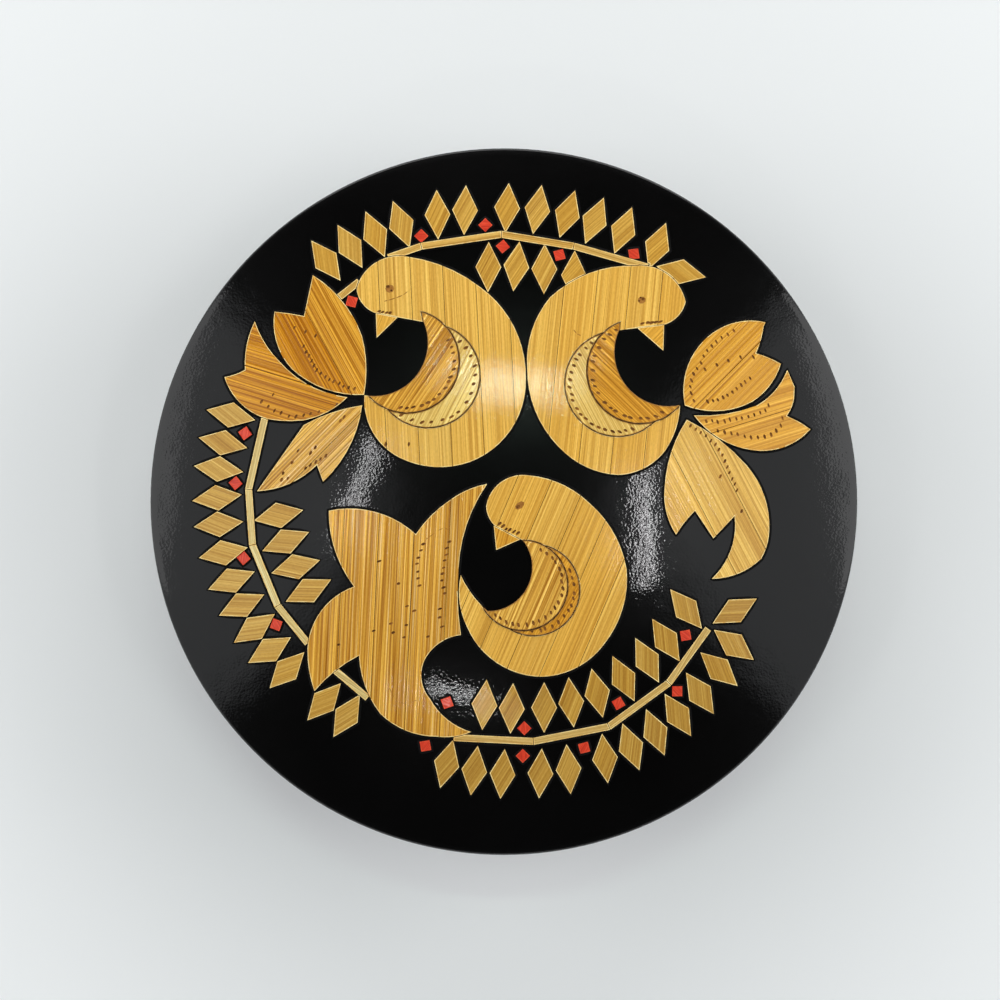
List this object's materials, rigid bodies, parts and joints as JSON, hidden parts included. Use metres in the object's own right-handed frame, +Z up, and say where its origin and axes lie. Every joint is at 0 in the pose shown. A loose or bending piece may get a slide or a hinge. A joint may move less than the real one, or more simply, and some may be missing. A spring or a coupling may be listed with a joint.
{
  "type": "straw marquetry trinket box",
  "caption": "Round turned wooden trinket box in black lacquer with a domed lift-off lid, its top laid with birds, fan tails and leaf garlands cut from split straw.",
  "frame": {"origin": "middle of the foot ring, on the surface that the box stands on", "axes": "+Z up along the turning axis of the box and lid, +Y towards the garland above the two upper birds, +X towards the right-hand bird"},
  "size_m": [0.15, 0.15, 0.0626],
  "materials": {
    "black_lacquer": "gloss black lacquer over turned wood, with a faint orange-peel texture",
    "gold_straw": "satin split straw, fine lengthwise grain, lacquered",
    "amber_straw": "satin toasted straw, coarse ribbed grain, lacquered",
    "pale_straw": "glossy pale split straw, fine grain, lacquered",
    "red_straw": "glossy dyed red straw, lacquered"
  },
  "bodies": {
    "box": {"box_body": "black_lacquer"},
    "lid": {"lid": "black_lacquer", "left_bird_body": "gold_straw", "left_bird_upper_wing": "amber_straw", "left_bird_lower_wing": "pale_straw", "left_bird_beak": "gold_straw", "right_bird_body": "gold_straw", "right_bird_upper_wing": "amber_straw", "right_bird_lower_wing": "pale_straw", "right_bird_beak": "gold_straw", "low_bird_body": "gold_straw", "low_bird_upper_wing": "amber_straw", "low_bird_lower_wing": "pale_straw", "low_bird_beak": "gold_straw", "left_tail_top_petal": "amber_straw", "left_tail_middle_petal": "amber_straw", "left_tail_low_petal": "amber_straw", "right_tail_top_petal": "amber_straw", "right_tail_middle_petal": "amber_straw", "right_tail_low_petal": "amber_straw", "low_bird_tail": "amber_straw", "top_stem": "pale_straw", "left_stem": "pale_straw", "bottom_stem": "pale_straw", "top_outer_leaves": "gold_straw", "top_inner_leaves": "gold_straw", "left_outer_leaves": "gold_straw", "left_inner_leaves": "gold_straw", "bottom_outer_leaves": "gold_straw", "bottom_inner_leaves": "gold_straw", "top_red_squares": "red_straw", "left_red_squares": "red_straw", "bottom_red_squares": "red_straw"}
  },
  "joints": [
    {"name": "lid_lift", "type": "slide", "parent": "box", "child": "lid", "axis": [0, 0, 1], "range_m": [0, 0.08]}
  ]
}
